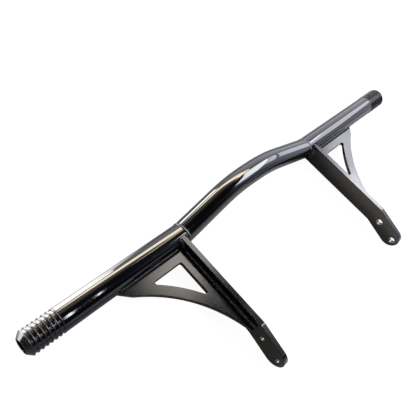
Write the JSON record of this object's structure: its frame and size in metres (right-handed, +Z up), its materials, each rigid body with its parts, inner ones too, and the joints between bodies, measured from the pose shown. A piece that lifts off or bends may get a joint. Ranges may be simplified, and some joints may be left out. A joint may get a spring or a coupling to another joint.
{
  "type": "motorcycle highway crash bar",
  "caption": "Bowed round-tube crash bar with two flat, gusseted bolt-on legs and a ribbed peg screwed into each end.",
  "frame": {"origin": "middle of the box's base: X = 0 on the plane between the two halves, Y = 0 halfway between the front of the bow and the tips of the feet, Z = 0 on the floor it lies on", "axes": "+X along the bar to its right end, +Z up from the floor it lies on, -Y the way its legs point"},
  "size_m": [0.762, 0.24, 0.0547],
  "materials": {
    "gloss_black_coat": "gloss black powder coat on steel",
    "weld_black": "gloss black powder coat over rippled weld bead",
    "peg_black": "turned black nylon, semi-gloss",
    "fastener_steel": "black oxide",
    "plug_steel": "turned bare steel"
  },
  "bodies": {
    "root": {"bar_arm_left": "gloss_black_coat", "bar_arm_right": "gloss_black_coat", "bar_middle": "gloss_black_coat", "bar_ring_weld_left": "weld_black", "bar_ring_weld_right": "weld_black", "gusset_bar_weld_bottom_left": "weld_black", "gusset_bar_weld_bottom_right": "weld_black", "gusset_bar_weld_top_left": "weld_black", "gusset_bar_weld_top_right": "weld_black", "gusset_left": "gloss_black_coat", "gusset_leg_weld_bottom_left": "weld_black", "gusset_leg_weld_bottom_right": "weld_black", "gusset_leg_weld_top_left": "weld_black", "gusset_leg_weld_top_right": "weld_black", "gusset_right": "gloss_black_coat", "leg_left": "gloss_black_coat", "leg_right": "gloss_black_coat", "leg_weld_inner_left": "weld_black", "leg_weld_inner_right": "weld_black", "leg_weld_outer_left": "weld_black", "leg_weld_outer_right": "weld_black", "peg_bolts": "fastener_steel", "peg_left": "peg_black", "peg_right": "peg_black", "peg_washers": "fastener_steel", "tube_plug_left": "plug_steel", "tube_plug_right": "plug_steel"}
  },
  "joints": []
}
